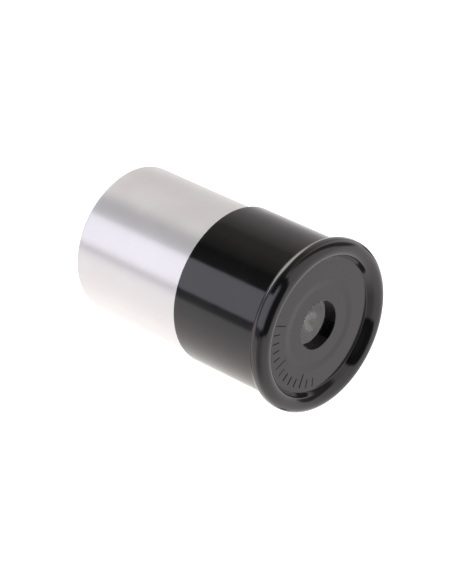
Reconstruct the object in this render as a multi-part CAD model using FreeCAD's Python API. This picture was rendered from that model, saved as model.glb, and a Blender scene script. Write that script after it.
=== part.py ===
"""Push-fit telescope eyepiece, two-lens Huygens type, 24.5 mm (0.965 in) barrel.

Frame: +Z is the optical axis, pointing to the eye. The origin is on the axis, in
the plane of the shoulder where the cap sits on the barrel, which is also the
plane that seats on the end of the telescope's drawtube. Millimetres.

From the eye downwards the pieces are: eye_cap (black moulding with a half-round
rim), eye_lens, eye_lens_ring (threaded retainer), lens_tube (drops into the neck
of the barrel and is clamped by its flange), field_stop, stop_spacer, field_lens,
field_lens_ring (threaded retainer) and barrel (turned aluminium tube with a
threaded neck).
"""
import FreeCAD
import Part
import math
import os

V = FreeCAD.Vector

# ---------------------------------------------------------------- dimensions
# barrel
BARREL_R = 12.25          # 24.5 mm push-fit barrel
BARREL_LEN = 22.4         # below the shoulder
BARREL_BORE_R = 11.25     # open lower end, 1.0 mm wall
BARREL_EDGE = 0.30        # edge break at the open end
NECK_R = 11.05            # thread root on the neck
NECK_TOP_Z = 6.2
NECK_BORE_R = 9.90
NECK_BORE_BOTTOM_Z = -4.6

# cap
CAP_R0 = 13.03            # body radius at the shoulder
CAP_R1 = 13.07            # body radius under the rim (mould draft)
RIM_R = 14.15             # widest radius of the rim
RIM_TOP_R = 1.43          # half-round on the eye side
RIM_IN_R = 1.50           # round on the inner side of its crest
RIM_SLOPE = 58.0          # inner wall, degrees from the face
RIM_FOOT_R = 0.16         # fillet between the inner wall and the face
RIM_BACK_R = 1.70         # rounding on the barrel side
RIM_BACK_Z = 18.00        # centre height of that rounding
FACE_Z = 18.32            # flat annular face inside the rim
DISH_Z = 18.24            # shallow dish round the eye hole
DISH_R0, DISH_R1 = 6.45, 7.35
EYE_HOLE_R = 3.93
LENS_SEAT_Z = 17.12
CAP_STEP_R = 10.40        # inside wall above the step that clamps the lens tube's flange
CAP_WEB_Z = 16.2          # underside of the web
BOSS_R = 7.1              # boss round the eye lens
BOSS_Z = 12.62

# cap-to-barrel thread, right hand
CAP_PITCH = 0.75
CAP_THREAD_DEPTH = 0.40
CAP_THREAD_CLEAR = 0.06

# retainer threads, right hand
RING_PITCH = 0.50
RING_THREAD_DEPTH = 0.25
RING_THREAD_CLEAR = 0.045

# optics: field lens focal length is twice the eye lens's, spaced by half the sum
GLASS_N = 1.5168
FOCAL = 12.5
F_EYE = 0.75 * FOCAL
F_FIELD = 1.5 * FOCAL
EYE_RAD = F_EYE * (GLASS_N - 1.0)
FIELD_RAD = F_FIELD * (GLASS_N - 1.0)
EYE_LENS_R = 4.45
EYE_LENS_EDGE = 0.70
FIELD_LENS_R = 7.00
FIELD_LENS_EDGE = 0.70
EYE_SAG = EYE_RAD - math.sqrt(EYE_RAD ** 2 - EYE_LENS_R ** 2)
FIELD_SAG = FIELD_RAD - math.sqrt(FIELD_RAD ** 2 - FIELD_LENS_R ** 2)
EYE_TOP_Z = LENS_SEAT_Z - 0.01
EYE_VERTEX_Z = EYE_TOP_Z - EYE_LENS_EDGE - EYE_SAG
FIELD_VERTEX_Z = EYE_VERTEX_Z - 0.5 * (F_EYE + F_FIELD)
FIELD_TOP_Z = FIELD_VERTEX_Z + FIELD_SAG + FIELD_LENS_EDGE
STOP_Z = EYE_VERTEX_Z - F_EYE      # focal plane of the eye lens
STOP_T = 0.30
STOP_HOLE_R = 3.60

# lens tube
TUBE_R = 9.84
TUBE_FLANGE_R = 10.95
TUBE_FLANGE_T = 1.0
TUBE_BORE_R = 7.05
TUBE_BOTTOM_Z = -1.28
TUBE_TOP_BORE_R = 6.4
TUBE_THROAT_R = 4.9

# retainers
EYE_RING_R = 5.50
EYE_RING_BORE_R = 4.05
EYE_RING_H = 2.3
FIELD_RING_R = 7.60
FIELD_RING_BORE_R = 6.30
FIELD_RING_H = 2.3
SLOT_W = 1.2
SLOT_D = 0.7

# index ticks moulded into the face, in place of lettering
TICKS = 13
TICK_FROM_DEG, TICK_TO_DEG = -74.0, 30.0
TICK_OUT_R = 10.30
TICK_LONG, TICK_SHORT = 2.4, 1.5
TICK_W = 0.24
TICK_D = 0.12


TAN30 = math.tan(math.radians(30))   # thread flank


# ---------------------------------------------------------------- helpers
def outline(start, steps):
    """Closed face in the XZ half-plane. A step is (r, z) for a line or (rm, zm, r, z) for an arc."""
    edges = []
    p = V(start[0], 0, start[1])
    for s in steps:
        q = V(s[-2], 0, s[-1])
        if len(s) == 4:
            edges.append(Part.Arc(p, V(s[0], 0, s[1]), q).toShape())
        else:
            edges.append(Part.makeLine(p, q))
        p = q
    first = V(start[0], 0, start[1])
    if (p - first).Length > 1e-7:
        edges.append(Part.makeLine(p, first))
    return Part.Face(Part.Wire(edges))


def revolve(start, steps):
    s = outline(start, steps).revolve(V(0, 0, 0), V(0, 0, 1), 360)
    if s.ShapeType != "Solid":
        s = Part.Solid(s) if s.ShapeType == "Shell" else s.Solids[0]
    if s.Volume < 0:
        s.reverse()
    return s


def on_arc(cr, cz, rad, deg):
    a = math.radians(deg)
    return (cr + rad * math.cos(a), cz + rad * math.sin(a))


def helix_ridge(r_in, r_out, half_in, half_out, pitch, z_mid, turns):
    """Solid of a trapezoid swept on a right-hand helix. half_* are the half-widths along Z at each radius."""
    helix = Part.makeHelix(pitch, pitch * turns, r_in)
    helix.translate(V(0, 0, z_mid))
    pts = [V(r_in, 0, z_mid - half_in), V(r_out, 0, z_mid - half_out),
           V(r_out, 0, z_mid + half_out), V(r_in, 0, z_mid + half_in)]
    prof = Part.makePolygon(pts + [pts[0]])
    s = Part.Wire(helix.Edges).makePipeShell([prof], True, True)
    if s.ShapeType != "Solid":
        s = Part.Solid(s)
    if s.Volume < 0:
        s.reverse()
    return s


def male_thread(body, root_r, depth, pitch, z0, z1, crest_half):
    """Fuses a male thread to body, lying wholly between z0 and z1."""
    bury = 0.08
    half_in = crest_half + (depth + bury) * TAN30
    start = pitch * math.ceil((z0 + half_in) / pitch)
    turns = math.floor((z1 - half_in - start) / pitch * 8) / 8.0
    ridge = helix_ridge(root_r - bury, root_r + depth, half_in, crest_half, pitch, start, turns)
    return body.fuse(ridge)


def ring_band(r0, r1, z0, z1):
    return Part.makeCylinder(r1, z1 - z0, V(0, 0, z0)).cut(Part.makeCylinder(r0, z1 - z0, V(0, 0, z0)))


def female_thread(body, root_r, depth, pitch, z_open, z1, crest_half, clear):
    """Cuts the matching groove, with clear all round, into a bore already in body.
    It runs out into the countersink at z_open and ends at z1."""
    over = 0.05
    bore = root_r + clear
    top = root_r + depth + clear
    half_top = crest_half + clear * (1 - TAN30)
    half_in = half_top + (top - bore + over) * TAN30
    start = pitch * math.floor((z_open - half_in - 0.05) / pitch)
    turns = math.ceil((z1 - start) / pitch) + 1
    groove = helix_ridge(bore - over, top, half_in, half_top, pitch, start, turns)
    groove = groove.common(ring_band(bore - over - 0.5, top + 0.5, z_open, z1))
    return body.cut(groove)


def wedge_slots(body, r0, r1, z0, z1):
    for k in (0, 1):
        b = Part.makeBox(r1 - r0, SLOT_W, z1 - z0, V(r0, -SLOT_W / 2, z0))
        b.rotate(V(0, 0, 0), V(0, 0, 1), 180 * k)
        body = body.cut(b)
    return body


def one_solid(s):
    s = s.removeSplitter() if hasattr(s, "removeSplitter") else s
    sols = s.Solids
    if len(sols) != 1:
        raise RuntimeError("expected one solid, got %d" % len(sols))
    return sols[0]


# ---------------------------------------------------------------- pieces
def make_barrel():
    e = BARREL_EDGE
    zb = -BARREL_LEN
    body = revolve((BARREL_BORE_R + e, zb), [
        (BARREL_R - e, zb),
        on_arc(BARREL_R - e, zb + e, e, -45) + (BARREL_R, zb + e),
        (BARREL_R, -0.12),
        (BARREL_R - 0.12, 0.0),
        (NECK_R - 0.15, 0.0),
        (NECK_R - 0.15, 0.55),
        (NECK_R, 0.75),
        (NECK_R, NECK_TOP_Z - 0.30),
        (NECK_R - 0.30, NECK_TOP_Z),
        (NECK_BORE_R + 0.15, NECK_TOP_Z),
        (NECK_BORE_R, NECK_TOP_Z - 0.15),
        (NECK_BORE_R, NECK_BORE_BOTTOM_Z),
        (BARREL_BORE_R - 0.35, NECK_BORE_BOTTOM_Z),
        on_arc(BARREL_BORE_R - 0.35, NECK_BORE_BOTTOM_Z - 0.35, 0.35, 45) + (BARREL_BORE_R, NECK_BORE_BOTTOM_Z - 0.35),
        (BARREL_BORE_R, zb + e),
    ])
    return one_solid(male_thread(body, NECK_R, CAP_THREAD_DEPTH, CAP_PITCH, 0.80, NECK_TOP_Z - 0.32, 0.08))


def make_cap():
    cz = FACE_Z + 0.03
    cr = RIM_R - RIM_TOP_R
    bcr = RIM_R - RIM_BACK_R
    r_join = CAP_R1
    a_join = -math.degrees(math.acos((r_join - bcr) / RIM_BACK_R))
    z_join = RIM_BACK_Z + RIM_BACK_R * math.sin(math.radians(a_join))
    bore = NECK_R + CAP_THREAD_CLEAR
    step_z = NECK_TOP_Z + TUBE_FLANGE_T + 0.02
    # inner side of the rim: round, then a straight wall down to a fillet on the face
    icz = cz + RIM_TOP_R - RIM_IN_R
    wall_top = on_arc(cr, icz, RIM_IN_R, 90 + RIM_SLOPE)
    foot_r = wall_top[0] - (wall_top[1] - FACE_Z) / math.tan(math.radians(RIM_SLOPE))
    f = RIM_FOOT_R
    fcr = foot_r - f * math.tan(math.radians(RIM_SLOPE / 2))
    h = 0.10                       # edge round at the eye hole
    steps = [
        (CAP_R0 - 0.10, 0.0),
        on_arc(CAP_R0 - 0.10, 0.10, 0.10, -45) + (CAP_R0, 0.10),
        (r_join, z_join - 0.10),
        (r_join + 0.012, z_join - 0.028, *on_arc(bcr, RIM_BACK_Z, RIM_BACK_R, a_join + 3.2)),
        on_arc(bcr, RIM_BACK_Z, RIM_BACK_R, a_join / 2) + (RIM_R, RIM_BACK_Z),
        (RIM_R, cz),
        on_arc(cr, cz, RIM_TOP_R, 45) + on_arc(cr, cz, RIM_TOP_R, 90),
        on_arc(cr, icz, RIM_IN_R, 90 + RIM_SLOPE / 2) + wall_top,
        on_arc(fcr, FACE_Z + f, f, RIM_SLOPE - 90),
        on_arc(fcr, FACE_Z + f, f, RIM_SLOPE / 2 - 90) + (fcr, FACE_Z),
        (DISH_R1 + 0.25, FACE_Z),
        (DISH_R1 + 0.02, FACE_Z - 0.010, DISH_R1 - 0.08, FACE_Z - 0.028),
        (DISH_R0 + 0.08, DISH_Z + 0.028),
        (DISH_R0 - 0.02, DISH_Z + 0.010, DISH_R0 - 0.25, DISH_Z),
        (EYE_HOLE_R + h, DISH_Z),
        on_arc(EYE_HOLE_R + h, DISH_Z - h, h, 135) + (EYE_HOLE_R, DISH_Z - h),
        (EYE_HOLE_R, LENS_SEAT_Z),
        (EYE_LENS_R + 0.04, LENS_SEAT_Z),
        (EYE_LENS_R + 0.04, LENS_SEAT_Z - 1.2),
        (EYE_RING_R - RING_THREAD_DEPTH + RING_THREAD_CLEAR, LENS_SEAT_Z - 1.2),
        (EYE_RING_R - RING_THREAD_DEPTH + RING_THREAD_CLEAR, BOSS_Z + 0.3),
        (EYE_RING_R - RING_THREAD_DEPTH + RING_THREAD_CLEAR + 0.3, BOSS_Z),
        (BOSS_R - 0.2, BOSS_Z),
        on_arc(BOSS_R - 0.2, BOSS_Z + 0.2, 0.2, -45) + (BOSS_R, BOSS_Z + 0.2),
        (BOSS_R, CAP_WEB_Z - 0.5),
        on_arc(BOSS_R + 0.5, CAP_WEB_Z - 0.5, 0.5, 135) + (BOSS_R + 0.5, CAP_WEB_Z),
        (CAP_STEP_R - 0.6, CAP_WEB_Z),
        on_arc(CAP_STEP_R - 0.6, CAP_WEB_Z - 0.6, 0.6, 45) + (CAP_STEP_R, CAP_WEB_Z - 0.6),
        (CAP_STEP_R, step_z),
        (bore, step_z),
        (bore, 0.75),
        (bore + 0.55, 0.20),
        (bore + 0.55, 0.0),
    ]
    cap = revolve((bore + 0.55, 0.0), steps[:-1])
    cap = female_thread(cap, NECK_R, CAP_THREAD_DEPTH, CAP_PITCH, 0.12, step_z - 0.9, 0.08, CAP_THREAD_CLEAR)
    cap = female_thread(cap, EYE_RING_R - RING_THREAD_DEPTH, RING_THREAD_DEPTH, RING_PITCH,
                        BOSS_Z + 0.02, LENS_SEAT_Z - 1.25, 0.05, RING_THREAD_CLEAR)
    for k in range(TICKS):
        a = TICK_FROM_DEG + (TICK_TO_DEG - TICK_FROM_DEG) * k / (TICKS - 1)
        length = TICK_LONG if k % 5 == 0 else TICK_SHORT
        w, r1 = TICK_W / 2, TICK_OUT_R - TICK_W / 2
        r0 = TICK_OUT_R - length + TICK_W / 2
        z0 = FACE_Z - TICK_D
        t = Part.makeBox(r1 - r0, TICK_W, 1.0, V(r0, -w, z0))
        t = t.fuse([Part.makeCylinder(w, 1.0, V(r0, 0, z0)), Part.makeCylinder(w, 1.0, V(r1, 0, z0))]).removeSplitter()
        t.rotate(V(0, 0, 0), V(0, 0, 1), a)
        cap = cap.cut(t)
    return one_solid(cap)


def make_lens_tube():
    zt = NECK_TOP_Z + TUBE_FLANGE_T
    shoulder = STOP_Z + STOP_T / 2 + 0.01
    return one_solid(female_thread(revolve((TUBE_TOP_BORE_R, zt), [
        (TUBE_TOP_BORE_R, shoulder + 1.6),
        (TUBE_THROAT_R, shoulder + 0.6),
        (TUBE_THROAT_R, shoulder),
        (TUBE_BORE_R, shoulder),
        (TUBE_BORE_R, FIELD_TOP_Z - FIELD_LENS_EDGE - 0.25),
        (FIELD_RING_R - RING_THREAD_DEPTH + RING_THREAD_CLEAR, FIELD_TOP_Z - FIELD_LENS_EDGE - 0.25),
        (FIELD_RING_R - RING_THREAD_DEPTH + RING_THREAD_CLEAR, TUBE_BOTTOM_Z + 0.3),
        (FIELD_RING_R - RING_THREAD_DEPTH + RING_THREAD_CLEAR + 0.3, TUBE_BOTTOM_Z),
        (TUBE_R - 0.3, TUBE_BOTTOM_Z),
        (TUBE_R, TUBE_BOTTOM_Z + 0.3),
        (TUBE_R, NECK_TOP_Z - 0.2),
        (TUBE_R - 0.12, NECK_TOP_Z - 0.12),
        (TUBE_R - 0.12, NECK_TOP_Z + 0.01),
        (TUBE_FLANGE_R, NECK_TOP_Z + 0.01),
        (TUBE_FLANGE_R, zt - 0.15),
        (TUBE_FLANGE_R - 0.15, zt),
    ]), FIELD_RING_R - RING_THREAD_DEPTH, RING_THREAD_DEPTH, RING_PITCH,
        TUBE_BOTTOM_Z + 0.02, FIELD_TOP_Z - FIELD_LENS_EDGE - 0.30, 0.05, RING_THREAD_CLEAR))


def make_eye_lens():
    top, r = EYE_TOP_Z, EYE_LENS_R
    c = 0.08
    zc = EYE_VERTEX_Z + EYE_RAD
    mid = r * 0.55
    return revolve((0, top), [
        (r - c, top),
        (r, top - c),
        (r, zc - math.sqrt(EYE_RAD ** 2 - r ** 2)),
        (mid, zc - math.sqrt(EYE_RAD ** 2 - mid ** 2), 0, EYE_VERTEX_Z),
    ])


def make_field_lens():
    top, r = FIELD_TOP_Z, FIELD_LENS_R
    c = 0.10
    zc = FIELD_VERTEX_Z + FIELD_RAD
    mid = r * 0.55
    return revolve((0, top), [
        (r - c, top),
        (r, top - c),
        (r, zc - math.sqrt(FIELD_RAD ** 2 - r ** 2)),
        (mid, zc - math.sqrt(FIELD_RAD ** 2 - mid ** 2), 0, FIELD_VERTEX_Z),
    ])


def retainer(lens_vertex_z, lens_rad, bore_r, outer_r, height):
    """Threaded ring whose inner top edge bears on the lens's curved face."""
    seat_r = bore_r + 0.12
    zc = lens_vertex_z + lens_rad
    top = zc - math.sqrt(lens_rad ** 2 - seat_r ** 2) - 0.02
    root = outer_r - RING_THREAD_DEPTH
    bottom = top - height
    body = revolve((bore_r, top - 0.25), [
        (bore_r + 0.12, top),
        (root - 0.1, top),
        (root, top - 0.1),
        (root, bottom + 0.15),
        (root - 0.15, bottom),
        (bore_r + 0.25, bottom),
        (bore_r, bottom + 0.25),
    ])
    body = male_thread(body, root, RING_THREAD_DEPTH, RING_PITCH, bottom + 0.02, top - 0.02, 0.05)
    return one_solid(wedge_slots(body, bore_r - 0.5, outer_r + 0.5, bottom - 0.1, bottom + SLOT_D))


def make_field_stop():
    z0, z1 = STOP_Z - STOP_T / 2, STOP_Z + STOP_T / 2
    return revolve((STOP_HOLE_R, STOP_Z + 0.03), [
        (STOP_HOLE_R, STOP_Z - 0.03),
        (STOP_HOLE_R + 0.35, z0),
        (TUBE_BORE_R - 0.05, z0),
        (TUBE_BORE_R - 0.05, z1),
        (STOP_HOLE_R + 0.35, z1),
    ])


def make_spacer():
    z0, z1 = FIELD_TOP_Z + 0.01, STOP_Z - STOP_T / 2 - 0.01
    return revolve((TUBE_BORE_R - 1.05, z0), [
        (TUBE_BORE_R - 0.05, z0),
        (TUBE_BORE_R - 0.05, z1),
        (TUBE_BORE_R - 1.05, z1),
    ])


PIECES = {
    "barrel": make_barrel,
    "eye_cap": make_cap,
    "lens_tube": make_lens_tube,
    "eye_lens": make_eye_lens,
    "eye_lens_ring": lambda: retainer(EYE_VERTEX_Z, EYE_RAD, EYE_RING_BORE_R, EYE_RING_R, EYE_RING_H),
    "field_stop": make_field_stop,
    "stop_spacer": make_spacer,
    "field_lens": make_field_lens,
    "field_lens_ring": lambda: retainer(FIELD_VERTEX_Z, FIELD_RAD, FIELD_RING_BORE_R, FIELD_RING_R, FIELD_RING_H),
}

os.makedirs("parts", exist_ok=True)
for name, make in PIECES.items():
    shape = make()
    bb = shape.BoundBox
    print("%-16s valid=%s closed=%s vol=%.2f mm3 z %.3f..%.3f r %.3f faces %d" % (
        name, shape.isValid(), shape.isClosed(), shape.Volume, bb.ZMin, bb.ZMax, bb.XMax, len(shape.Faces)))
    shape.exportStep(os.path.join("parts", name + ".step"))
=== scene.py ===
import math
import bpy
import numpy as np
from mathutils import Matrix, Vector


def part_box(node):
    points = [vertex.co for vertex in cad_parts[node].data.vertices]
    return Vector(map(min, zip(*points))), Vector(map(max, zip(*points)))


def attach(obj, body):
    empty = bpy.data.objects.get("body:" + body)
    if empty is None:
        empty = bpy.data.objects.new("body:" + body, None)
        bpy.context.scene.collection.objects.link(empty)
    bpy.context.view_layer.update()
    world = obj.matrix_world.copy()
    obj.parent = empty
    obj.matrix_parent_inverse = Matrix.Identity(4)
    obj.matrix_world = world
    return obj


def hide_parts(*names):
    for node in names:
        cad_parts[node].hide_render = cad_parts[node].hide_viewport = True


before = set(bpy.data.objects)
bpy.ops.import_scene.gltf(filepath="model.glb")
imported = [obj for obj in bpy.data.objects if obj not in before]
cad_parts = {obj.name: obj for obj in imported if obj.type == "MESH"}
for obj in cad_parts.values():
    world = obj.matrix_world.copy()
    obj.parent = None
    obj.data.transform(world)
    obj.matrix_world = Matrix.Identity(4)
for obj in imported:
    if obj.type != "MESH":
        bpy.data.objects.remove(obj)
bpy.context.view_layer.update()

MM = 0.001


# ---------------------------------------------------------------- sizes, in mm, from the CAD frame
def box_mm(node):
    lo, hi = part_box(node)
    return [c * 1000 for c in lo], [c * 1000 for c in hi]


cap_lo, cap_hi = box_mm("eye_cap")
bar_lo, bar_hi = box_mm("barrel")
eye_lo, eye_hi = box_mm("eye_lens")
fld_lo, fld_hi = box_mm("field_lens")

RIM_R = cap_hi[0]
RIM_TOP = cap_hi[2]
BARREL_R = bar_hi[0]
BARREL_Z0 = bar_lo[2]
NECK_TOP = bar_hi[2]

TAN30 = math.tan(math.radians(30))


# ---------------------------------------------------------------- mesh helpers
def arc(cr, cz, rad, a0, a1, step=6.0):
    """Points of an arc, in degrees, both ends included."""
    n = max(2, int(math.ceil(abs(a1 - a0) / step)))
    return [(cr + rad * math.cos(math.radians(a0 + (a1 - a0) * i / n)),
             cz + rad * math.sin(math.radians(a0 + (a1 - a0) * i / n))) for i in range(n + 1)]


def line(p, q, n):
    """n points after p, up to and including q."""
    return [(p[0] + (q[0] - p[0]) * i / n, p[1] + (q[1] - p[1]) * i / n) for i in range(1, n + 1)]


def clean(points):
    out = []
    for p in points:
        if not out or math.hypot(p[0] - out[-1][0], p[1] - out[-1][1]) > 1e-4:
            out.append(p)
    if math.hypot(out[0][0] - out[-1][0], out[0][1] - out[-1][1]) <= 1e-4:
        out.pop()
    return out


def finish_mesh(name, verts, faces, sharp_deg=32.0):
    me = bpy.data.meshes.new(name)
    me.from_pydata([tuple(v) for v in verts], [], faces)
    me.validate()
    me.update()
    me.polygons.foreach_set("use_smooth", [True] * len(me.polygons))
    me.set_sharp_from_angle(angle=math.radians(sharp_deg))
    o = bpy.data.objects.new(name, me)
    bpy.context.scene.collection.objects.link(o)
    return o


def lathe(name, profile, thetas, shape=None, sharp_deg=32.0):
    """A closed profile (r, z), anticlockwise seen with r to the right and z up, turned about Z.
    shape(theta, r, z) -> (r, z) can change points, as arrays. All in mm."""
    p = np.array(profile, float)
    th = np.array(thetas, float)
    n, k = len(th), len(p)
    T, R = np.meshgrid(th, p[:, 0], indexing="ij")
    _, Z = np.meshgrid(th, p[:, 1], indexing="ij")
    if shape is not None:
        R, Z = shape(T, R.copy(), Z.copy())
    on_axis = p[:, 0] < 1e-6
    verts, index = [], np.zeros((n, k), int)
    for j in range(k):
        if on_axis[j]:
            index[:, j] = len(verts)
            verts.append((0.0, 0.0, Z[0, j] * MM))
        else:
            base = len(verts)
            index[:, j] = base + np.arange(n)
            verts.extend(zip(R[:, j] * np.cos(th) * MM, R[:, j] * np.sin(th) * MM, Z[:, j] * MM))
    faces = []
    for j in range(k):
        j2 = (j + 1) % k
        if on_axis[j] and on_axis[j2]:
            continue
        a, b = index[:, j], index[:, j2]
        for i in range(n):
            i2 = (i + 1) % n
            if on_axis[j]:
                faces.append((int(a[i]), int(b[i2]), int(b[i])))
            elif on_axis[j2]:
                faces.append((int(a[i]), int(a[i2]), int(b[i])))
            else:
                faces.append((int(a[i]), int(a[i2]), int(b[i2]), int(b[i])))
    return finish_mesh(name, verts, faces, sharp_deg)


def thread_radius(theta, z, root, depth, crest_half, pitch):
    """Radius of a right-hand trapezoid thread at azimuth theta and height z."""
    d = np.abs((z / pitch - theta / (2 * math.pi) + 0.5) % 1.0 - 0.5) * pitch
    return root + np.clip(depth - (d - crest_half) / TAN30, 0.0, depth)


def smooth01(x):
    x = np.clip(x, 0.0, 1.0)
    return x * x * (3 - 2 * x)


# ---------------------------------------------------------------- eye cap
FACE_Z = RIM_TOP - 1.46
RIM_TOP_R = 1.43
RIM_CR = RIM_R - RIM_TOP_R
RIM_CZ = FACE_Z + 0.03
RIM_IN_R, RIM_SLOPE, FOOT_R = 1.50, 58.0, 0.16
RIM_BACK_R = 1.70
RIM_BACK_Z = 18.00
CAP_R0, CAP_R1 = 13.03, 13.07
DISH_Z, DISH_R0, DISH_R1 = FACE_Z - 0.08, 6.45, 7.35
HOLE_R, SEAT_Z = 3.93, eye_hi[2] + 0.01
BORE_R = 11.11
STEP_Z, STEP_R = NECK_TOP + 1.02, 10.40
WEB_Z, BOSS_R, BOSS_Z = 16.2, 7.1, 12.62
EYE_THREAD_R = 5.50 - 0.25 + 0.045
TICKS, TICK_A0, TICK_A1 = 13, -74.0, 30.0
TICK_OUT, TICK_LONG, TICK_SHORT, TICK_W, TICK_D = 10.30, 2.4, 1.5, 0.24, 0.12


def cap_profile():
    icz = RIM_CZ + RIM_TOP_R - RIM_IN_R
    top_a = math.radians(90 + RIM_SLOPE)
    wall_top = (RIM_CR + RIM_IN_R * math.cos(top_a), icz + RIM_IN_R * math.sin(top_a))
    foot_r = wall_top[0] - (wall_top[1] - FACE_Z) / math.tan(math.radians(RIM_SLOPE))
    fcr = foot_r - FOOT_R * math.tan(math.radians(RIM_SLOPE / 2))
    bcr = RIM_R - RIM_BACK_R
    a_join = -math.degrees(math.acos((CAP_R1 - bcr) / RIM_BACK_R))
    z_join = RIM_BACK_Z + RIM_BACK_R * math.sin(math.radians(a_join))
    p = [(BORE_R + 0.55, 0.0)]
    p += line(p[-1], (CAP_R0 - 0.10, 0.0), 4)
    p += arc(CAP_R0 - 0.10, 0.10, 0.10, -90, 0, 15)
    p += line(p[-1], (CAP_R1, z_join - 0.22), 24)
    # small moulded fillet where the rim leaves the body
    j = (CAP_R1, z_join)
    e = (bcr + RIM_BACK_R * math.cos(math.radians(a_join + 7)), RIM_BACK_Z + RIM_BACK_R * math.sin(math.radians(a_join + 7)))
    s = p[-1]
    for i in range(1, 9):
        t = i / 8
        p.append(((1 - t) ** 2 * s[0] + 2 * t * (1 - t) * j[0] + t * t * e[0],
                  (1 - t) ** 2 * s[1] + 2 * t * (1 - t) * j[1] + t * t * e[1]))
    p += arc(bcr, RIM_BACK_Z, RIM_BACK_R, a_join + 7, 0, 4)
    p += line(p[-1], (RIM_R, RIM_CZ), 3)
    p += arc(RIM_CR, RIM_CZ, RIM_TOP_R, 0, 90, 4)
    p += arc(RIM_CR, icz, RIM_IN_R, 90, 90 + RIM_SLOPE, 4)
    fa = RIM_SLOPE - 90
    p += line(p[-1], (fcr + FOOT_R * math.cos(math.radians(fa)), FACE_Z + FOOT_R + FOOT_R * math.sin(math.radians(fa))), 6)
    p += arc(fcr, FACE_Z + FOOT_R, FOOT_R, fa, -90, 10)
    p += line(p[-1], (TICK_OUT + 0.15, FACE_Z), 4)
    r = TICK_OUT + 0.15
    inner = TICK_OUT - TICK_LONG - 0.15
    n = int((r - inner) / 0.085)
    p += line(p[-1], (inner, FACE_Z), n)
    p += line(p[-1], (DISH_R1 + 0.30, FACE_Z), 2)
    for i in range(1, 25):
        t = i / 24
        p.append((DISH_R1 + 0.30 - (DISH_R1 - DISH_R0 + 0.60) * t, FACE_Z - (FACE_Z - DISH_Z) * (t * t * (3 - 2 * t))))
    p += line(p[-1], (HOLE_R + 0.5, DISH_Z), 6)
    p += line(p[-1], (HOLE_R + 0.10, DISH_Z), 3)
    p += arc(HOLE_R + 0.10, DISH_Z - 0.10, 0.10, 90, 180, 12)
    p += line(p[-1], (HOLE_R, SEAT_Z), 12)
    p += line(p[-1], (eye_hi[0] + 0.04, SEAT_Z), 2)
    p += line(p[-1], (eye_hi[0] + 0.04, SEAT_Z - 1.2), 4)
    p += line(p[-1], (EYE_THREAD_R, SEAT_Z - 1.2), 2)
    p += line(p[-1], (EYE_THREAD_R, BOSS_Z + 0.3), 60)
    p += line(p[-1], (EYE_THREAD_R + 0.3, BOSS_Z), 12)
    p += line(p[-1], (BOSS_R - 0.2, BOSS_Z), 2)
    p += arc(BOSS_R - 0.2, BOSS_Z + 0.2, 0.2, -90, 0, 20)
    p += line(p[-1], (BOSS_R, WEB_Z - 0.5), 4)
    p += arc(BOSS_R + 0.5, WEB_Z - 0.5, 0.5, 180, 90, 15)
    p += line(p[-1], (STEP_R - 0.6, WEB_Z), 3)
    p += arc(STEP_R - 0.6, WEB_Z - 0.6, 0.6, 90, 0, 15)
    p += line(p[-1], (STEP_R, STEP_Z), 8)
    p += line(p[-1], (BORE_R, STEP_Z), 2)
    p += line(p[-1], (BORE_R, 0.75), 96)
    p += line(p[-1], (BORE_R + 0.55, 0.20), 4)
    p += line(p[-1], (BORE_R + 0.55, 0.0), 1)
    return clean(p)


def tick_angles():
    return [math.radians(TICK_A0 + (TICK_A1 - TICK_A0) * k / (TICKS - 1)) for k in range(TICKS)]


def cap_shape(T, R, Z):
    # cap thread, cut into the bore
    m = (np.abs(R - BORE_R) < 1e-3) & (Z < STEP_Z - 0.35) & (Z > 0.15)
    rr = thread_radius(T, Z, BORE_R, 0.40, 0.08 + 0.06 * (1 - TAN30), 0.75)
    fade = smooth01((STEP_Z - 0.9 - Z) / 0.15)
    R = np.where(m, BORE_R + (rr - BORE_R) * fade, R)
    # retainer thread, cut into the boss
    m = (np.abs(R - EYE_THREAD_R) < 1e-3) & (Z < SEAT_Z - 1.22) & (Z > BOSS_Z + 0.05)
    rr = thread_radius(T, Z, EYE_THREAD_R, 0.25, 0.05 + 0.045 * (1 - TAN30), 0.50)
    fade = smooth01((SEAT_Z - 1.25 - Z) / 0.1)
    R = np.where(m, EYE_THREAD_R + (rr - EYE_THREAD_R) * fade, R)
    # the same groove runs out through the boss's lead-in
    m = (Z > BOSS_Z + 0.01) & (Z < BOSS_Z + 0.299) & (R > EYE_THREAD_R) & (R < EYE_THREAD_R + 0.299)
    rr = thread_radius(T, Z, EYE_THREAD_R, 0.25, 0.05 + 0.045 * (1 - TAN30), 0.50)
    R = np.where(m, np.maximum(R, rr), R)
    # faint waviness of the moulded wall, a few micrometres
    body = (Z > 0.4) & (Z < 16.0) & (np.abs(R - CAP_R0) < 0.12)
    wave = (np.sin(3 * T + 0.85 * Z + 0.4) + np.sin(5 * T - 1.30 * Z + 1.9) + 0.7 * np.sin(11 * T + 1.9 * Z) + 0.5 * np.sin(17 * T - 2.6 * Z + 2.2))
    R = np.where(body, R + 0.0022 * wave * smooth01((Z - 0.4) / 1.5) * smooth01((16.0 - Z) / 1.5), R)
    # index ticks, sunk into the face
    on_face = (np.abs(Z - FACE_Z) < 1e-4) & (R < TICK_OUT + 0.12) & (R > TICK_OUT - TICK_LONG - 0.12)
    dep = np.zeros_like(R)
    for k, a in enumerate(tick_angles()):
        length = TICK_LONG if k % 5 == 0 else TICK_SHORT
        x = R * np.cos(T - a)
        y = R * np.sin(T - a)
        w = TICK_W / 2
        r1, r0 = TICK_OUT - w, TICK_OUT - length + w
        dist = np.hypot(x - np.clip(x, r0, r1), y)
        dep = np.maximum(dep, smooth01((w - dist) / (w * 0.75)) * (x > 0))
    Z = np.where(on_face, Z - TICK_D * dep, Z)
    return R, Z


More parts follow.
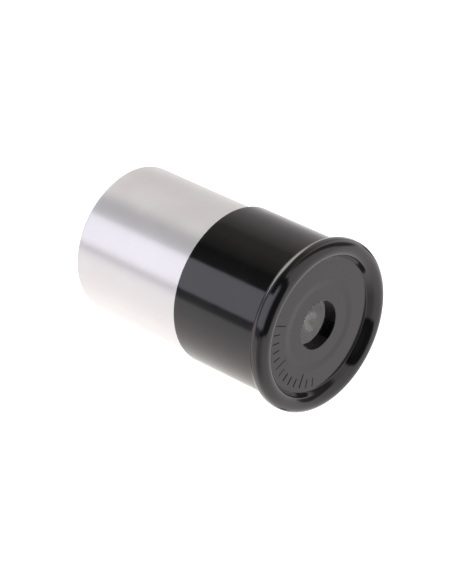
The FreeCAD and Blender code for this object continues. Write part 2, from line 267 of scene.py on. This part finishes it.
base_t = np.linspace(-math.pi, math.pi, 288, endpoint=False)
extra = []
for a in tick_angles():
    extra += [a + s * 0.0105 for s in np.linspace(-2.0, 2.0, 11)]
thetas = np.array(sorted(set(np.round(np.concatenate([base_t, extra]), 6))))
keep = [thetas[0]]
for x in thetas[1:]:
    if x - keep[-1] > 0.0012:
        keep.append(x)
cap = lathe("eye_cap_moulding", cap_profile(), keep, cap_shape)


# ---------------------------------------------------------------- barrel
def barrel_profile():
    e = 0.30
    zb = BARREL_Z0
    bore, neck, nb = 11.25, 11.05, 9.90
    p = [(bore + e, zb)]
    p += line(p[-1], (BARREL_R - e, zb), 2)
    p += arc(BARREL_R - e, zb + e, e, -90, 0, 10)
    p += line(p[-1], (BARREL_R, -0.12), 40)
    p += line(p[-1], (BARREL_R - 0.12, 0.0), 2)
    p += line(p[-1], (neck - 0.15, 0.0), 3)
    p += line(p[-1], (neck - 0.15, 0.55), 2)
    p += line(p[-1], (neck, 0.75), 2)
    p += line(p[-1], (neck, NECK_TOP - 0.30), 92)
    p += line(p[-1], (neck - 0.30, NECK_TOP), 3)
    p += line(p[-1], (nb + 0.15, NECK_TOP), 2)
    p += line(p[-1], (nb, NECK_TOP - 0.15), 2)
    p += line(p[-1], (nb, -4.6), 12)
    p += line(p[-1], (bore - 0.35, -4.6), 3)
    p += arc(bore - 0.35, -4.95, 0.35, 90, 0, 15)
    p += line(p[-1], (bore, zb + e), 24)
    p += line(p[-1], (bore + e, zb), 3)
    return clean(p)


def barrel_shape(T, R, Z):
    m = (np.abs(R - 11.05) < 1e-3) & (Z > 0.76) & (Z < NECK_TOP - 0.31)
    rr = thread_radius(T, Z, 11.05, 0.40, 0.08, 0.75)
    fade = smooth01((Z - 1.15) / 0.12) * smooth01((5.72 - Z) / 0.12)
    return np.where(m, 11.05 + (rr - 11.05) * fade, R), Z


barrel = lathe("barrel_turned", barrel_profile(), np.linspace(-math.pi, math.pi, 288, endpoint=False), barrel_shape)


# ---------------------------------------------------------------- lenses
def lens(name, lo, hi, rad, edge, chamfer):
    """Plano-convex, flat side up."""
    r, top, vertex = hi[0], hi[2], lo[2]
    zc = vertex + rad
    p = [(0.0, vertex)]
    n = 40
    a1 = math.asin(r / rad)
    for i in range(1, n + 1):
        a = a1 * i / n
        p.append((rad * math.sin(a), zc - rad * math.cos(a)))
    p += line(p[-1], (r, top - chamfer), 3)
    p += line(p[-1], (r - chamfer, top), 2)
    p += line(p[-1], (r * 0.5, top), 4)
    p += line(p[-1], (0.0, top), 4)
    return lathe(name, p, np.linspace(-math.pi, math.pi, 192, endpoint=False), sharp_deg=25)


GLASS_N = 1.5168
eye_glass = lens("eye_lens_glass", eye_lo, eye_hi, 9.375 * (GLASS_N - 1), 0.70, 0.08)
field_glass = lens("field_lens_glass", fld_lo, fld_hi, 18.75 * (GLASS_N - 1), 0.70, 0.10)

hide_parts("eye_cap")
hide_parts("barrel")
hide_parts("eye_lens")
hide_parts("field_lens")
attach(cap, "eye_cap")
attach(barrel, "barrel")
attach(eye_glass, "eye_lens")
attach(field_glass, "field_lens")


# ---------------------------------------------------------------- node helpers
class Val:
    """A float socket with arithmetic, so that materials read as formulas."""

    def __init__(self, tree, sock):
        self.tree, self.sock = tree, sock

    def op(self, kind, *others):
        n = self.tree.nodes.new("ShaderNodeMath")
        n.operation = kind
        self.tree.links.new(self.sock, n.inputs[0])
        for i, o in enumerate(others):
            if isinstance(o, Val):
                self.tree.links.new(o.sock, n.inputs[i + 1])
            else:
                n.inputs[i + 1].default_value = float(o)
        return Val(self.tree, n.outputs[0])

    def __add__(self, o): return self.op("ADD", o)
    def __sub__(self, o): return self.op("SUBTRACT", o)
    def __mul__(self, o): return self.op("MULTIPLY", o)
    def __truediv__(self, o): return self.op("DIVIDE", o)

    def step(self, lo, hi, a=0.0, b=1.0):
        """Smooth step from a at lo to b at hi."""
        n = self.tree.nodes.new("ShaderNodeMapRange")
        n.interpolation_type = "SMOOTHSTEP"
        self.tree.links.new(self.sock, n.inputs["Value"])
        for k, v in (("From Min", lo), ("From Max", hi), ("To Min", a), ("To Max", b)):
            n.inputs[k].default_value = v
        return Val(self.tree, n.outputs["Result"])


def separate(tree, vec):
    n = tree.nodes.new("ShaderNodeSeparateXYZ")
    tree.links.new(vec, n.inputs[0])
    return [Val(tree, n.outputs[i]) for i in range(3)]


def mix_color(tree, fac, a, b):
    n = tree.nodes.new("ShaderNodeMix")
    n.data_type = "RGBA"
    put(tree, n.inputs["Factor"], fac)
    put(tree, n.inputs[6], a)
    put(tree, n.inputs[7], b)
    return n.outputs[2]


def put(tree, socket, value):
    if isinstance(value, Val):
        tree.links.new(value.sock, socket)
    elif isinstance(value, bpy.types.NodeSocket):
        tree.links.new(value, socket)
    elif isinstance(value, (tuple, list)):
        socket.default_value = tuple(value) + ((1.0,) if len(value) == 3 and len(socket.default_value) == 4 else ())
    else:
        socket.default_value = value


def noise(tree, vec, scale, detail=3.0, rough=0.5, dist=0.0):
    n = tree.nodes.new("ShaderNodeTexNoise")
    tree.links.new(vec, n.inputs["Vector"])
    n.inputs["Scale"].default_value = scale
    n.inputs["Detail"].default_value = detail
    n.inputs["Roughness"].default_value = rough
    n.inputs["Distortion"].default_value = dist
    return Val(tree, n.outputs["Fac"])


def combine(tree, x, y, z):
    n = tree.nodes.new("ShaderNodeCombineXYZ")
    put(tree, n.inputs[0], x)
    put(tree, n.inputs[1], y)
    put(tree, n.inputs[2], z)
    return n.outputs[0]


def ramp(tree, fac, stops, scale=1.0):
    """Colour ramp of (position, (r, g, b)), with values divided by scale so that they fit in 0 to 1."""
    n = tree.nodes.new("ShaderNodeValToRGB")
    cr = n.color_ramp
    cr.interpolation = "LINEAR"
    while len(cr.elements) < len(stops):
        cr.elements.new(0.5)
    for e, (pos, col) in zip(cr.elements, stops):
        e.position = pos
        e.color = (col[0] / scale, col[1] / scale, col[2] / scale, 1.0)
    put(tree, n.inputs["Fac"], fac)
    return n.outputs["Color"]


def new_material(name):
    m = bpy.data.materials.new(name)
    m.use_nodes = True
    t = m.node_tree
    return m, t, t.nodes["Principled BSDF"]


def bump(tree, height, strength, distance, normal=None):
    n = tree.nodes.new("ShaderNodeBump")
    put(tree, n.inputs["Height"], height)
    n.inputs["Strength"].default_value = strength
    n.inputs["Distance"].default_value = distance
    if normal is not None:
        tree.links.new(normal, n.inputs["Normal"])
    return n.outputs["Normal"]


def object_coords(tree):
    n = tree.nodes.new("ShaderNodeTexCoord")
    return n.outputs["Object"]


# ---------------------------------------------------------------- materials
def cap_material():
    m, t, b = new_material("cap_plastic_gloss")
    co = object_coords(t)
    cloud = noise(t, co, 160.0, 4.0, 0.55)
    fine = noise(t, co, 2600.0, 2.0, 0.6)
    wave = noise(t, co, 90.0, 1.0, 0.4)
    put(t, b.inputs["Base Color"], mix_color(t, cloud.step(0.35, 0.65), (0.0042, 0.0041, 0.0044), (0.0062, 0.0060, 0.0060)))
    put(t, b.inputs["Roughness"], cloud.step(0.3, 0.7, 0.075, 0.115) + fine.step(0.55, 0.8, 0.0, 0.03))
    put(t, b.inputs["IOR"], 1.50)
    n1 = bump(t, wave, 0.10, 0.00003)
    put(t, b.inputs["Normal"], bump(t, fine, 0.03, 0.000004, n1))
    return m


def metal_material():
    m, t, b = new_material("barrel_satin_aluminium")
    co = object_coords(t)
    x, y, z = separate(t, co)
    # turning lines: noise that changes fast along the axis and slowly round it
    lines = noise(t, combine(t, x * 12.0, y * 12.0, z * 5200.0), 1.0, 2.0, 0.5)
    coarse = noise(t, combine(t, x * 30.0, y * 30.0, z * 1800.0), 1.0, 2.0, 0.5)
    cloud = noise(t, co, 140.0, 3.0, 0.5)
    tint = mix_color(t, cloud.step(0.35, 0.65), (0.578, 0.575, 0.575), (0.608, 0.608, 0.608))
    pale = mix_color(t, cloud.step(0.35, 0.65), (0.855, 0.853, 0.850), (0.885, 0.883, 0.880))
    tan = t.nodes.new("ShaderNodeTangent")
    tan.direction_type = "RADIAL"
    tan.axis = "Z"
    normal = bump(t, lines + coarse * 0.35, 0.03, 0.0000020)
    # the turned surface: a stretched satin highlight ...
    put(t, b.inputs["Metallic"], 1.0)
    put(t, b.inputs["Base Color"], tint)
    put(t, b.inputs["Roughness"], cloud.step(0.3, 0.7, 0.290, 0.302) + lines.step(0.3, 0.7, 0.0, 0.010))
    put(t, b.inputs["Anisotropic"], 0.80)
    put(t, b.inputs["Anisotropic Rotation"], 0.25)
    t.links.new(tan.outputs[0], b.inputs["Tangent"])
    put(t, b.inputs["Normal"], normal)
    # ... over the soft bloom of the etched and anodised skin
    soft = t.nodes.new("ShaderNodeBsdfPrincipled")
    put(t, soft.inputs["Metallic"], 1.0)
    put(t, soft.inputs["Base Color"], pale)
    put(t, soft.inputs["Roughness"], cloud.step(0.3, 0.7, 0.70, 0.78))
    put(t, soft.inputs["Normal"], normal)
    mix = t.nodes.new("ShaderNodeMixShader")
    mix.inputs[0].default_value = 0.47
    t.links.new(b.outputs[0], mix.inputs[1])
    t.links.new(soft.outputs[0], mix.inputs[2])
    out = [n for n in t.nodes if n.bl_idname == "ShaderNodeOutputMaterial"][0]
    t.links.new(mix.outputs[0], out.inputs["Surface"])
    return m


def glass_material():
    m, t, b = new_material("lens_crown_glass")
    co = object_coords(t)
    smear = noise(t, co, 500.0, 3.0, 0.6, 0.6)
    put(t, b.inputs["Base Color"], (0.965, 0.985, 0.965))
    put(t, b.inputs["Transmission Weight"], 1.0)
    put(t, b.inputs["IOR"], GLASS_N)
    put(t, b.inputs["Roughness"], smear.step(0.45, 0.75, 0.0, 0.03))
    put(t, b.inputs["Coat Weight"], smear.step(0.3, 0.7, 0.22, 0.36))
    put(t, b.inputs["Coat Roughness"], 0.02)
    put(t, b.inputs["Coat Tint"], (0.97, 1.0, 0.94))
    put(t, b.inputs["Normal"], bump(t, smear, 0.02, 0.000002))
    return m


def matte_black(name, col, rough, scale, metallic=0.0):
    m, t, b = new_material(name)
    co = object_coords(t)
    grain = noise(t, co, scale, 4.0, 0.6)
    cloud = noise(t, co, 200.0, 3.0, 0.5)
    dark = tuple(c * 0.75 for c in col)
    put(t, b.inputs["Base Color"], mix_color(t, cloud.step(0.3, 0.7), dark, col))
    put(t, b.inputs["Metallic"], metallic)
    put(t, b.inputs["Roughness"], grain.step(0.3, 0.7, rough - 0.08, rough + 0.08))
    put(t, b.inputs["Normal"], bump(t, grain, 0.25, 0.00002))
    return m


def turned_black(name, col, rough):
    m, t, b = new_material(name)
    co = object_coords(t)
    x, y, z = separate(t, co)
    r = (x * x + y * y).op("SQRT")
    lines = noise(t, combine(t, r * 9000.0, z * 9000.0, 0.0), 1.0, 2.0, 0.5)
    wear = noise(t, co, 900.0, 4.0, 0.65)
    put(t, b.inputs["Base Color"], mix_color(t, wear.step(0.58, 0.72), col, tuple(c * 3 + 0.02 for c in col)))
    put(t, b.inputs["Metallic"], 0.6)
    put(t, b.inputs["Roughness"], lines.step(0.3, 0.7, rough - 0.06, rough + 0.08))
    put(t, b.inputs["Normal"], bump(t, lines, 0.2, 0.000008))
    return m


def assign(o, mat):
    o.data.materials.clear()
    o.data.materials.append(mat)


assign(cap, cap_material())
assign(barrel, metal_material())
glass = glass_material()
edge_black = matte_black("lens_edge_blacking", (0.012, 0.012, 0.012), 0.7, 4000.0)
for ob, rad in ((eye_glass, eye_hi[0]), (field_glass, fld_hi[0])):
    assign(ob, glass)
    ob.data.materials.append(edge_black)
    # ground and blackened: the edge, and the curved side where it sits on its ring
    for face in ob.data.polygons:
        r = math.hypot(face.center.x, face.center.y) / MM
        if r > rad - 0.06 or (face.normal.z < -0.01 and r > 0.74 * rad):
            face.material_index = 1
tube_mat = matte_black("tube_plastic_matt", (0.020, 0.020, 0.021), 0.55, 3000.0)
ring_mat = turned_black("ring_black_anodised", (0.016, 0.016, 0.018), 0.38)
stop_mat = turned_black("stop_blackened_brass", (0.020, 0.018, 0.015), 0.45)
for node, mat in (("lens_tube", tube_mat), ("stop_spacer", tube_mat), ("eye_lens_ring", ring_mat),
                  ("field_lens_ring", ring_mat), ("field_stop", stop_mat)):
    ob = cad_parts[node]
    for i in range(len(ob.material_slots)):
        ob.material_slots[i].material = mat


# ---------------------------------------------------------------- studio
def studio_world():
    """White tent with an opening on the camera side: a softbox low in the opening, dark room round it."""
    w = bpy.data.worlds.new("studio")
    bpy.context.scene.world = w
    w.use_nodes = True
    t = w.node_tree
    for n in list(t.nodes):
        t.nodes.remove(n)
    tc = t.nodes.new("ShaderNodeTexCoord")
    x, y, z = separate(t, tc.outputs["Generated"])
    side = x * -1.0
    front = y * -1.0
    psi = side.op("ARCTAN2", front) * 57.29578
    fac = (psi + 180.0) / 360.0

    def at(deg):
        return (deg + 180.0) / 360.0
    low = ramp(t, fac, [
        (at(-180), (1.25, 1.22, 1.18)), (at(-160), (1.32, 1.29, 1.23)), (at(-136), (1.55, 1.47, 1.40)),
        (at(-100), (1.49, 1.40, 1.37)), (at(-60), (1.38, 1.33, 1.34)), (at(-50), (1.37, 1.34, 1.36)),
        (at(-45), (0.42, 0.41, 0.46)), (at(-36), (0.30, 0.29, 0.33)), (at(-32.5), (1.85, 1.80, 2.05)),
        (at(0), (1.92, 1.88, 2.08)), (at(9), (1.85, 1.82, 1.98)), (at(11.5), (0.10, 0.10, 0.11)),
        (at(33), (0.06, 0.06, 0.06)), (at(40), (0.17, 0.17, 0.16)), (at(60), (0.31, 0.29, 0.25)),
        (at(75), (0.30, 0.28, 0.24)), (at(80), (0.45, 0.43, 0.40)), (at(100), (0.66, 0.62, 0.61)),
        (at(120), (0.72, 0.67, 0.68)), (at(136), (0.84, 0.79, 0.80)), (at(160), (1.21, 1.19, 1.20)),
        (at(180), (1.25, 1.22, 1.18))], 3.0)
    # upper part: tent wall, with an opening like a tent door that narrows towards the top
    beta = z.op("ARCTAN2", front) * 57.29578
    half = (beta - 26.0).op("MAXIMUM", 0.0) * -0.0047 + 0.595 - (beta - 70.0).op("MAXIMUM", 0.0).op("POWER", 2.0) * 0.00016
    edge = (side + 0.045).op("ABSOLUTE") - half
    door = edge.step(-0.04, 0.04, 1.0, 0.0) * beta.step(84.0, 112.0, 1.0, 0.0)
    # softbox in the opening, fading out upwards
    soft = beta.step(-4.0, 33.0, 1.0, 0.0) * side.step(-0.58, -0.46) * side.step(0.24, 0.44, 1.0, 0.0)
    inside = mix_color(t, soft, (0.055 / 3, 0.055 / 3, 0.058 / 3), (1.90 / 3, 1.86 / 3, 2.06 / 3))
    # the wall left of the opening is greyer low down than over the top
    el = z
    left_wall = mix_color(t, el.step(0.30, 0.85), (0.86 / 3, 0.81 / 3, 0.80 / 3), (1.46 / 3, 1.40 / 3, 1.40 / 3))
    right_wall = mix_color(t, el.step(0.30, 0.80), (1.22 / 3, 1.15 / 3, 1.13 / 3), (1.46 / 3, 1.40 / 3, 1.40 / 3))
    near_wall = mix_color(t, side.step(-0.3, 0.3), left_wall, right_wall)
    far_wall = mix_color(t, side.step(-0.2, 0.9), (1.50 / 3, 1.43 / 3, 1.45 / 3), (1.42 / 3, 1.36 / 3, 1.37 / 3))
    wall = mix_color(t, front.step(-0.35, 0.30), far_wall, near_wall)
    up = mix_color(t, door, wall, inside)
    both = mix_color(t, z.step(-0.46, -0.14), low, up)
    # paper under the object: bright under the right-hand wall, in shade towards the left
    paper = mix_color(t, psi.step(-130.0, -95.0), (0.35 / 3, 0.34 / 3, 0.34 / 3), (1.25 / 3, 1.08 / 3, 1.06 / 3))
    paper = mix_color(t, psi.step(-50.0, -34.0) * psi.step(48.0, 60.0, 1.0, 0.0), paper, (0.60 / 3, 0.60 / 3, 0.63 / 3))
    paper = mix_color(t, psi.step(48.0, 62.0) * psi.step(100.0, 128.0, 1.0, 0.0), paper, (3.75 / 3, 3.55 / 3, 3.48 / 3))
    both = mix_color(t, z.step(-0.82, -0.70, 1.0, 0.0), both, paper)
    # a broad dark strip, straight, along the right-hand wall
    strip = (side * 0.234 - front * 0.339 - z * 0.911).op("ABSOLUTE").step(0.15, 0.30, 1.0, 0.0)
    strip = strip * side.step(0.40, 0.60) * front.step(-0.78, -0.66) * front.step(0.45, 0.90, 1.0, 0.0)
    both = mix_color(t, strip, both, (0.30 / 3, 0.28 / 3, 0.29 / 3))
    lp = t.nodes.new("ShaderNodeLightPath")
    bg = t.nodes.new("ShaderNodeBackground")
    t.links.new(both, bg.inputs["Color"])
    bg.inputs["Strength"].default_value = 3.0
    white = t.nodes.new("ShaderNodeBackground")
    white.inputs["Color"].default_value = (1, 1, 1, 1)
    white.inputs["Strength"].default_value = 1.0
    mix = t.nodes.new("ShaderNodeMixShader")
    t.links.new(lp.outputs["Is Camera Ray"], mix.inputs[0])
    t.links.new(bg.outputs[0], mix.inputs[1])
    t.links.new(white.outputs[0], mix.inputs[2])
    out = t.nodes.new("ShaderNodeOutputWorld")
    t.links.new(mix.outputs[0], out.inputs["Surface"])
    return w


studio_world()


def studio_floor():
    z = BARREL_Z0 * MM - 0.00002
    s = 6.0
    me = bpy.data.meshes.new("studio_floor")
    me.from_pydata([(-s, -s, z), (s, -s, z), (s, s, z), (-s, s, z)], [], [(0, 1, 2, 3)])
    o = bpy.data.objects.new("studio_floor", me)
    bpy.context.scene.collection.objects.link(o)
    m, t, b = new_material("floor_pale")
    co = object_coords(t)
    n = noise(t, co, 30.0, 3.0, 0.5)
    put(t, b.inputs["Base Color"], mix_color(t, n.step(0.3, 0.7), (0.90, 0.90, 0.895), (0.93, 0.93, 0.925)))
    put(t, b.inputs["Roughness"], 0.9)
    put(t, b.inputs["Specular IOR Level"], 0.0)
    put(t, b.inputs["Emission Color"], (1.0, 1.0, 1.0))
    put(t, b.inputs["Emission Strength"], 0.75)
    # seen only from above, so that the object can be looked at from below as well
    geo = t.nodes.new("ShaderNodeNewGeometry")
    clear = t.nodes.new("ShaderNodeBsdfTransparent")
    mix = t.nodes.new("ShaderNodeMixShader")
    t.links.new(geo.outputs["Backfacing"], mix.inputs[0])
    t.links.new(b.outputs[0], mix.inputs[1])
    t.links.new(clear.outputs[0], mix.inputs[2])
    out = [q for q in t.nodes if q.bl_idname == "ShaderNodeOutputMaterial"][0]
    t.links.new(mix.outputs[0], out.inputs["Surface"])
    assign(o, m)
    o.visible_glossy = False
    o.visible_diffuse = False
    o.visible_transmission = False
    o.visible_shadow = False
    return o


studio_floor()

key = bpy.data.lights.new("studio_key", "AREA")
key.shape = "RECTANGLE"
key.size, key.size_y = 0.5, 0.5
key.energy = 0.25
key_o = bpy.data.objects.new("studio_key", key)
bpy.context.scene.collection.objects.link(key_o)
key_o.location = (0.30, -0.20, 0.65)
key_o.rotation_euler = (Vector((0, 0, 0)) - key_o.location).to_track_quat("-Z", "Y").to_euler()
key_o.visible_glossy = False


# ---------------------------------------------------------------- camera
def camera():
    """Camera 483 mm away, a little over 37 degrees above the shoulder plane, rolled so that the axis points down to the right."""
    right = Vector((-0.42287, 0.55343, 0.71756))
    down = Vector((0.90619, 0.25596, 0.33662))
    ahead = Vector((0.00263, 0.79259, -0.60975))
    ahead.normalize()
    right = (right - ahead * right.dot(ahead)).normalized()
    down = ahead.cross(right)
    pos = -(right * 1.07548 - down * 0.90107 + ahead * 482.7994) * MM
    cam = bpy.data.cameras.new("camera")
    cam.sensor_width = 36.0
    cam.sensor_fit = "AUTO"
    cam.lens = 191.56
    cam.shift_x, cam.shift_y = -0.5 / 581, 0.5 / 581
    cam.clip_start, cam.clip_end = 0.01, 50.0
    o = bpy.data.objects.new("camera", cam)
    bpy.context.scene.collection.objects.link(o)
    rot = Matrix((right, -down, -ahead)).transposed()
    o.matrix_world = Matrix.Translation(pos) @ rot.to_4x4()
    bpy.context.scene.camera = o
    return o


camera()
bpy.context.scene.view_settings.view_transform = "Standard"
bpy.context.scene.view_settings.look = "None"
